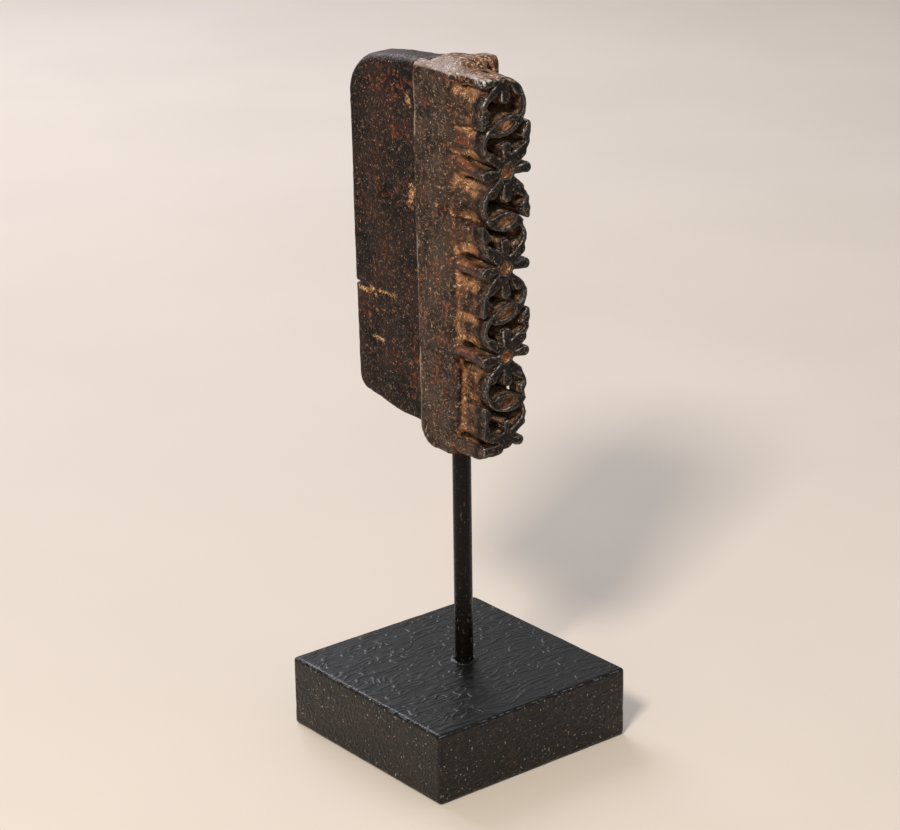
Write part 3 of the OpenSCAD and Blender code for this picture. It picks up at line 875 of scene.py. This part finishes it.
# stand: a painted square of wood, and a rod that turns in it
base = {
    "gridStep": 2.0,
    "edge": 1.6,
    "edgeSteps": 5,
    "chip": 0.25,
    # knocks along the edges and marks of the plane: height or share, size in mm, seed
    "chips": [(1, 4.0, 31), (0.6, 1.7, 32)],
    "planed": [(0.06, (12, 4, 4), 33)],
    "footKeep": 0.4,  # left smooth at the table and round the recess
    "boreKeep": 1.0,
    "boreRadius": 3.2,
    "recessRadius": 9.2,
    "recessDepth": 9.7,
    "beadWidth": 2.2,  # paint that pooled round the foot of the rod
    "beadHeight": 0.7,
    "beadGap": 0.12,
    "beadSink": 0.3,
    "beadStart": 0.3,  # where its round back begins, as a share of half a turn
    "beadSteps": 11,
    "beadLumps": [(0.18, 1.6, 41)],
    "segments": 72,
}
rod = {
    "tailRadius": 3.0,
    "tailNose": 0.6,  # its chamfer, as a share of the rod's
    "tailStart": 2.0,
    "chamfer": 0.7,
    "crownIn": 0.2,  # the top's round: shares of the chamfer in from the side and down from the top
    "crownDown": 0.4,
    "shoulderEdge": 0.15,
    "ringStep": 1.5,
    "segments": 64,
}


def lathe(profile, segments, closed=False):
    # rings of points round the rod's axis, capped at both ends or closed into one loop
    turn = np.linspace(0, 2 * math.pi, segments, endpoint=False)
    points = np.concatenate([
        np.stack([rodAxis[0] + r * np.cos(turn), rodAxis[1] + r * np.sin(turn), np.full(segments, z)], 1)
        for r, z in profile
    ])
    step = np.arange(segments)
    follow = (step + 1) % segments
    rings = len(profile)
    faces = []
    for k in range(rings if closed else rings - 1):
        a, b = k * segments, (k + 1) % rings * segments
        faces += np.stack([a + step, a + follow, b + follow, b + step], 1).tolist()
    if not closed:
        faces += [step[::-1].tolist(), (step + (rings - 1) * segments).tolist()]
    return points, faces


def buildBase(b):
    size = baseHigh - baseLow
    bm = bmesh.new()
    place = Matrix.Translation((baseLow + baseHigh) / 2) @ Matrix.Diagonal((*size, 1))
    bmesh.ops.create_cube(bm, size=1, matrix=place)
    for axis in range(3):
        steps = round(size[axis] / b["gridStep"])
        for k in range(1, steps):
            at = baseLow.copy()
            at[axis] += size[axis] * k / steps
            parts = bm.verts[:] + bm.edges[:] + bm.faces[:]
            bmesh.ops.bisect_plane(bm, geom=parts, plane_co=at, plane_no=np.eye(3)[axis])
    corners = [e for e in bm.edges if e.calc_face_angle(0) > 1]
    bmesh.ops.bevel(
        bm, geom=corners, offset=b["edge"], segments=b["edgeSteps"], profile=0.5, affect="EDGES"
    )
    bm.verts.index_update()
    faces = [[v.index for v in f.verts] for f in bm.faces]
    obj = meshFrom("black_base", [v.co for v in bm.verts], faces)
    bm.free()
    bore, wide, deep = b["boreRadius"], b["recessRadius"], b["recessDepth"]
    profile = [(wide, baseLow[2] - 1), (wide, deep), (bore, deep), (bore, baseHigh[2] + 1)]
    cutter = meshFrom("cutter", *lathe(profile, b["segments"]))
    cut = obj.modifiers.new("bore", "BOOLEAN")
    cut.object = cutter
    applyModifiers(obj)
    bpy.data.meshes.remove(cutter.data)

    # corners knocked back a little, faces left with the marks of the plane
    p, n = pointsOf(obj), normalsOf(obj)
    edged = ramp(-np.abs(n).max(axis=1), -0.99, -0.9)
    inBore = np.hypot(p[:, 0] - rodAxis[0], p[:, 1] - rodAxis[1]) < wide + b["boreKeep"]
    chips = ramp(noiseOf(p, b["chips"]), 0.2, 0.9) * edged
    push = noiseOf(p, b["planed"]) - b["chip"] * chips
    push[inBore | (p[:, 2] < b["footKeep"])] = 0
    movePoints(obj, p + n * push[:, None])
    flat = np.zeros(len(obj.data.polygons) * 3)
    obj.data.polygons.foreach_get("normal", flat)
    flat = flat.reshape(-1, 3)
    # the top edges only, given a painted highlight flecked with wear
    setAttribute(obj, "edged", (np.abs(flat).max(axis=1) < 0.85) & (flat[:, 2] > 0.2), "FACE")
    setAttribute(obj, "sides", ramp(-n[:, 2], -0.7, -0.3))
    return obj


def buildRod(r):
    low, top = rodLow[2], rodHigh[2]
    shoulder = baseHigh[2]
    c, tail, full = r["chamfer"], r["tailRadius"], rodRadius
    nose, edge = c * r["tailNose"], r["shoulderEdge"]
    profile = [(tail - nose, low), (tail, low + nose)]
    profile += [(tail, z) for z in np.arange(low + r["tailStart"], shoulder, r["ringStep"])]
    profile += [(tail, shoulder), (full - edge, shoulder), (full, shoulder + edge)]
    profile += [(full, z) for z in np.arange(shoulder + 1, top - c, r["ringStep"])]
    profile += [(full, top - c), (full - r["crownIn"] * c, top - r["crownDown"] * c), (full - c, top)]
    return meshFrom("black_rod", *lathe(profile, r["segments"]))


def buildBead(b):
    inner, foot = rodRadius + b["beadGap"], baseHigh[2]
    width, height = b["beadWidth"], b["beadHeight"]
    sunk, start = foot - b["beadSink"], b["beadStart"]
    profile = [(inner, sunk)]
    for t in np.linspace(0, 1, b["beadSteps"]):
        profile.append((inner + width * t, foot + height * math.sin(math.pi * (start + (1 - start) * t))))
    profile.append((inner + width, sunk))
    points, faces = lathe(profile, b["segments"], closed=True)
    lift = noiseOf(points, b["beadLumps"])
    points[:, 2] += np.where(points[:, 2] > foot, lift, 0)
    return meshFrom("foot_paint", points, faces)


blackBase = buildBase(base)
blackRod = buildRod(rod)
footPaint = buildBead(base)
print("stand built:", len(blackBase.data.polygons), "faces in the base")

for piece, body, node, slot in (
    (printingBlock, "block", "carved_block", "block_wood"),
    (blockHandle, "block", "handle", "handle_wood"),
    (blackBase, "stand", "stand_base", "base_paint"),
    (blackRod, "rod", "stand_rod", "rod_paint"),
    (footPaint, "stand", None, "base_paint"),
):
    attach(piece, body)
    if node:
        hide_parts(node)


# materials: each is a skin colour, patterns sized in mm, and layers of colour laid over one another
def toLinear(code):
    parts = [int(code[i:i + 2], 16) / 255 for i in (1, 3, 5)]
    return tuple(c / 12.92 if c <= 0.04045 else ((c + 0.055) / 1.055) ** 2.4 for c in parts) + (1,)


def addNode(tree, kind, links=None, out=0, **settings):
    node = tree.nodes.new("ShaderNode" + kind)
    for name, value in settings.items():
        setattr(node, name, value)
    for name, value in (links or {}).items():
        if isinstance(value, bpy.types.NodeSocket):
            tree.links.new(value, node.inputs[name])
        else:
            node.inputs[name].default_value = value
    return node.outputs[out] if len(node.outputs) else node


patternStep = (7.3, 2.9, 0)  # how far each pattern is set off from the one before


def makeMaterial(name, m):
    material = bpy.data.materials.new(name)
    material.use_nodes = True
    tree = material.node_tree
    tree.nodes.clear()
    where = addNode(tree, "TexCoord", out="Object")
    masks = {}
    for seed, (key, p) in enumerate(m["patterns"].items()):
        # lumps of noise about mm across, or strands that run along their contours
        sizes = p["mm"] if isinstance(p["mm"], tuple) else (p["mm"],) * 3
        scale = [1 / (v * metresPerMm) for v in sizes]
        shift = [v * seed for v in patternStep]
        spot = addNode(tree, "Mapping", {"Vector": where, "Location": shift, "Scale": scale})
        links = {"Vector": spot, "Scale": 1, "Detail": p.get("detail", 2), "Distortion": p.get("twist", 0)}
        value = addNode(tree, "TexNoise", links, "Fac")
        if "strands" in p:
            turns = addNode(tree, "Math", {0: value, 1: p["strands"] * 2 * math.pi}, operation="MULTIPLY")
            value = addNode(tree, "Math", {0: turns}, operation="SINE")
        low, high = p["band"]
        masks[key] = addNode(tree, "MapRange", {0: value, 1: low, 2: high}, interpolation_type="SMOOTHSTEP")
    for key in m.get("marks", ()):
        masks[key] = addNode(tree, "Attribute", out="Fac", attribute_name=key)
    skin = toLinear(m["skin"])
    for colour, strength, *names in m["layers"]:
        share = strength
        for key in names:
            share = addNode(tree, "Math", {0: masks[key], 1: share}, operation="MULTIPLY")
        skin = addNode(tree, "Mix", {0: share, 6: skin, 7: toLinear(colour)}, 2, data_type="RGBA")
    height = 0
    for key, rise in m["relief"].items():
        links = {0: masks[key], 1: rise * metresPerMm, 2: height}
        height = addNode(tree, "Math", links, operation="MULTIPLY_ADD")
    shine = m.get("shine", 0.5)
    key, smooth, rough = m["roughness"]
    gloss = addNode(tree, "MapRange", {0: masks[key], 3: smooth, 4: rough})
    if "polish" in m:
        key, least, glint = m["polish"]
        gloss = addNode(tree, "Mix", {0: masks[key], 2: gloss, 3: least})
        shine = addNode(tree, "Mix", {0: masks[key], 2: shine, 3: glint})
    shader = {
        "Base Color": skin,
        "Roughness": gloss,
        "Specular IOR Level": shine,
        "Normal": addNode(tree, "Bump", {"Height": height, "Distance": 1.0, "Strength": 1.0}),
        **m.get("shader", {}),
    }
    addNode(tree, "OutputMaterial", {"Surface": addNode(tree, "BsdfPrincipled", shader)})
    return material


# rosewood, carved by hand and soaked with years of dye and oil: a near-black satin skin with
# curled paler fibres, red-brown where it is rubbed, and golden raw wood behind the carving
blockWood = {
    "skin": "#231b17",
    "patterns": {
        "clouds": {"mm": 14, "detail": 4, "band": (0.36, 0.62)},
        "smoke": {"mm": 7, "detail": 3, "twist": 0.8, "band": (0.45, 0.68)},
        "stain": {"mm": 9, "detail": 5, "twist": 0.6, "band": (0.48, 0.64)},
        "strands": {"mm": 4.4, "detail": 1, "twist": 0.6, "strands": 8, "band": (0.2, 0.95)},
        "broken": {"mm": 1.7, "detail": 2, "band": (0.44, 0.6)},
        "curls": {"mm": 3.2, "detail": 1, "twist": 0.8, "strands": 4, "band": (0.7, 0.98)},
        "sparse": {"mm": 2.4, "detail": 2, "band": (0.52, 0.66)},
        "specks": {"mm": 0.9, "detail": 1, "band": (0.7, 0.78)},
        "pores": {"mm": 0.8, "detail": 2, "band": (0.3, 0.7)},
    },
    "marks": ["gold", "grimeAndShade", "ridges", "ink", "cuts", "litTops", "warmTops", "rims", "dryRims", "wear",
              "arrisHighlight", "polish", "fingers", "litFingerTops", "gleam", "dye", "litInnerWalls"],
    "layers": [
        ("#41342d", 0.9, "clouds"),
        ("#4f4037", 0.5, "smoke"),
        ("#6c3720", 0.85, "stain", "broken"),
        ("#7f6857", 0.65, "strands", "broken"),
        ("#a98b72", 0.85, "curls", "sparse"),
        ("#987152", 0.9, "gold"),
        ("#180e08", 0.92, "gold", "smoke"),
        ("#24150c", 0.7, "gold", "sparse"),
        ("#e3bd98", 0.95, "gold", "strands", "broken"),
        ("#b9713f", 0.7, "gold", "curls"),
        ("#3c1c11", 0.9, "fingers"),
        # painted light on the ribs' upper faces
        ("#7c5138", 0.85, "litFingerTops"),
        ("#662c1b", 0.7, "fingers", "stain"),
        ("#cf9c70", 0.85, "litFingerTops", "strands", "broken"),
        ("#46241a", 0.8, "ridges"),
        ("#8a4a30", 0.8, "ridges", "strands", "broken"),
        ("#0e0d0e", 0.85, "dye"),
        ("#131315", 0.94, "ink"),
        ("#332c26", 0.6, "ink", "smoke"),
        ("#74665a", 0.75, "ink", "curls", "broken"),
        ("#d8cabb", 0.7, "specks"),
        # painted shade in the crevices and worm holes, with their grime
        ("#060504", 0.92, "grimeAndShade"),
        # painted light on the upward-facing walls inside the hollows
        ("#7d6852", 0.6, "litInnerWalls"),
        ("#3a2e24", 0.7, "litInnerWalls", "smoke"),
        ("#b89a7c", 0.8, "litInnerWalls", "strands"),
        # painted light and sheen on the top
        ("#9a877e", 0.85, "litTops"),
        ("#5d463b", 0.7, "litTops", "smoke"),
        ("#4b382f", 0.6, "litTops", "strands", "sparse"),
        ("#6f4c35", 0.95, "warmTops"),
        ("#27170f", 0.9, "warmTops", "smoke"),
        ("#d6a478", 0.9, "warmTops", "strands", "broken"),
        ("#e6d3c0", 0.8, "litTops", "curls", "broken"),
        ("#d9dce2", 0.9, "gleam", "broken"),
        ("#94694a", 0.95, "cuts"),
        ("#e3b78f", 0.8, "cuts", "strands"),
        ("#4a2b19", 0.8, "cuts", "smoke"),
        # painted highlight on the rims that face the lamp
        ("#857c73", 0.3, "rims"),
        ("#dcd6ce", 0.55, "rims", "sparse"),
        ("#8a715a", 0.7, "dryRims", "broken"),
        ("#a89c92", 0.6, "wear", "broken"),
        ("#e6dfd8", 0.8, "wear", "sparse"),
        # painted highlight on the rear left edge
        ("#a08a7e", 0.8, "arrisHighlight"),
    ],
    "relief": {"strands": 0.1, "curls": 0.08, "pores": 0.1, "smoke": 0.15},
    "roughness": ("pores", 0.32, 0.5),
    "polish": ("polish", 0.14, 0.45),
    "shine": 0.09,
}

# the same wood as a grip, polished by hands: darker, with orange fibres in the scratches
handleWood = {
    "skin": "#0e0a08",
    "patterns": {
        "clouds": {"mm": 17, "detail": 4, "band": (0.38, 0.66)},
        "stain": {"mm": 10, "detail": 5, "twist": 0.6, "band": (0.52, 0.68)},
        "strands": {"mm": 4.6, "detail": 1, "twist": 0.6, "strands": 8, "band": (0.45, 0.98)},
        "broken": {"mm": 1.7, "detail": 2, "band": (0.48, 0.62)},
        "curls": {"mm": 3.2, "detail": 1, "twist": 1.0, "strands": 4, "band": (0.75, 0.98)},
        "sparse": {"mm": 2.4, "detail": 2, "band": (0.54, 0.66)},
        "specks": {"mm": 0.9, "detail": 1, "band": (0.7, 0.78)},
        "pores": {"mm": 0.8, "detail": 2, "band": (0.3, 0.7)},
    },
    "marks": ["wear", "bare", "streaks", "redden", "litTops"],
    "layers": [
        ("#2c1d16", 0.9, "clouds"),
        ("#54240f", 0.8, "stain", "broken"),
        ("#6a2c14", 0.85, "redden", "broken"),
        ("#6b5342", 0.7, "strands", "broken"),
        ("#93694c", 0.85, "curls", "sparse"),
        ("#060403", 0.9, "streaks"),
        # painted sheen on the upward faces
        ("#4c3c39", 0.4, "litTops"),
        ("#6f5c50", 0.6, "wear", "broken"),
        ("#5e3b22", 0.85, "bare"),
        ("#cf9f70", 0.9, "bare", "strands"),
        ("#f0cfa4", 0.8, "bare", "curls"),
        ("#c8b8a8", 0.7, "specks"),
    ],
    "relief": {"strands": 0.1, "curls": 0.08, "pores": 0.1},
    "roughness": ("pores", 0.26, 0.44),
    "shine": 0.1,
}

# pine under brushed black paint: a satin skin in leathery ripples, tinted brown in patches on the sides as a
# painted reflection, and a painted highlight along the top edges: a thin broken pale line flecked with wear
basePaint = {
    "skin": "#0b0b0c",
    "patterns": {
        "ripples": {"mm": (15, 6, 6), "detail": 1, "strands": 5, "twist": 0.5, "band": (-0.2, 1.0)},
        "drag": {"mm": (16, 1.3, 1.3), "detail": 3, "band": (0.3, 0.7)},
        "broken": {"mm": 2.4, "detail": 4, "band": (0.46, 0.62)},
        "flecks": {"mm": 1.2, "detail": 1, "band": (0.68, 0.76)},
        "curls": {"mm": (5, 3.0, 2.0), "detail": 1, "strands": 4, "band": (0.85, 0.99)},
        "clouds": {"mm": 12, "detail": 4, "band": (0.4, 0.65)},
    },
    "marks": ["edged", "sides"],
    "layers": [
        # painted reflection: the sides tinted brown in patches
        ("#18110d", 0.8, "sides", "clouds"),
        ("#463a32", 0.5, "sides", "curls"),
        ("#b8aca0", 0.55, "sides", "flecks"),
        # painted highlight along the top edges, flecked with wear
        ("#6d7178", 0.5, "edged", "broken"),
        ("#d8d6d2", 0.6, "edged", "flecks"),
    ],
    "relief": {"ripples": 0.16, "drag": 0.05},
    "roughness": ("drag", 0.25, 0.38),
    "shine": 0.3,
}

# mild steel rod under black spray paint: nearly even satin black, tiny pits and grey knocks
rodPaint = {
    "skin": "#0a0909",
    "patterns": {
        "pits": {"mm": 1.6, "detail": 3, "twist": 0.8, "band": (0.35, 0.7)},
        "knocks": {"mm": (1.2, 1.2, 2.6), "detail": 2, "band": (0.64, 0.72)},
    },
    "layers": [
        ("#4a4340", 0.8, "knocks"),
    ],
    "relief": {"pits": 0.08, "knocks": -0.05},
    "roughness": ("pits", 0.22, 0.36),
    "shine": 0.15,
}

# zinc-plated steel, stamped and turned: dull grey with a soft mottle
zincSteel = {
    "skin": "#8d8f92",
    "patterns": {"mottle": {"mm": 1.2, "detail": 4, "band": (0.35, 0.65)}},
    "layers": [("#b9bbbd", 0.9, "mottle")],
    "relief": {"mottle": 0.02},
    "roughness": ("mottle", 0.3, 0.5),
    "shader": {"Metallic": 1.0},
}

# bare beech, turned into pegs and left dry: pale tan with fine dark rays
pegBeech = {
    "skin": "#b98f5e",
    "patterns": {"rays": {"mm": (0.7, 6, 0.7), "detail": 4, "band": (0.45, 0.65)}},
    "layers": [("#8a6238", 0.9, "rays")],
    "relief": {"rays": 0.04},
    "roughness": ("rays", 0.55, 0.7),
}

# matt paper sweep, faintly clouded
floorPaper = {
    "skin": "#d9d0c6",
    "patterns": {"clouds": {"mm": 180, "detail": 3, "band": (0.3, 0.7)}},
    "layers": [("#dcd3c9", 1.0, "clouds")],
    "relief": {"clouds": 0.02},
    "roughness": ("clouds", 0.75, 0.85),
    "shine": 0.2,
}

painted = makeMaterial("pineBrushedBlackPaint", basePaint)
steel = makeMaterial("steelZincPlated", zincSteel)
beech = makeMaterial("beechTurnedBare", pegBeech)
dress = {
    printingBlock: makeMaterial("rosewoodCarvedInked", blockWood),
    blockHandle: makeMaterial("rosewoodHandPolished", handleWood),
    blackBase: painted,
    footPaint: painted,
    blackRod: makeMaterial("steelSprayedBlack", rodPaint),
}
dress.update({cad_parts[node]: steel for node in ("rod_washer", "rod_nut")})
dress.update({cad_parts[node]: beech for node in dowelNodes})
for piece, material in dress.items():
    if not piece.material_slots:
        piece.data.materials.append(None)
    for holder in piece.material_slots:
        holder.material = material
print("materials made:", len(set(dress.values())))

# plain floor and soft studio light
studio = {
    "floorHalf": 3.0,
    "sky": "#e4e2e0",
    "skyStrength": 0.5,
    "aim": (0, 0, 0.18),
    # place, size in metres, watts, colour
    "lamps": {
        "key": ((-1.25, -0.75, 1.45), 0.32, 32, "#fff3e2"),
        "back": ((0.3, 1.6, 1.3), 1.2, 22, "#f4f4ff"),
    },
}


def buildStudio(s):
    half = s["floorHalf"]
    mesh = bpy.data.meshes.new("floor")
    corners = [(-half, -half, 0), (half, -half, 0), (half, half, 0), (-half, half, 0)]
    mesh.from_pydata(corners, [], [(0, 1, 2, 3)])
    floor = bpy.data.objects.new("floor", mesh)
    mesh.materials.append(makeMaterial("paperSweepMatt", floorPaper))
    scene.collection.objects.link(floor)
    world = bpy.data.worlds.new("studio")
    scene.world = world
    world.use_nodes = True
    sky = world.node_tree.nodes["Background"].inputs
    sky["Color"].default_value = toLinear(s["sky"])
    sky["Strength"].default_value = s["skyStrength"]
    for name, (place, size, watts, colour) in s["lamps"].items():
        data = bpy.data.lights.new(name, "AREA")
        data.size = size
        data.energy = watts
        data.color = toLinear(colour)[:3]
        lamp = bpy.data.objects.new(name, data)
        lamp.location = place
        lamp.rotation_euler = (Vector(s["aim"]) - Vector(place)).to_track_quat("-Z", "Y").to_euler()
        scene.collection.objects.link(lamp)
    scene.view_settings.view_transform = "Standard"


buildStudio(studio)
print("floor and lamps set")
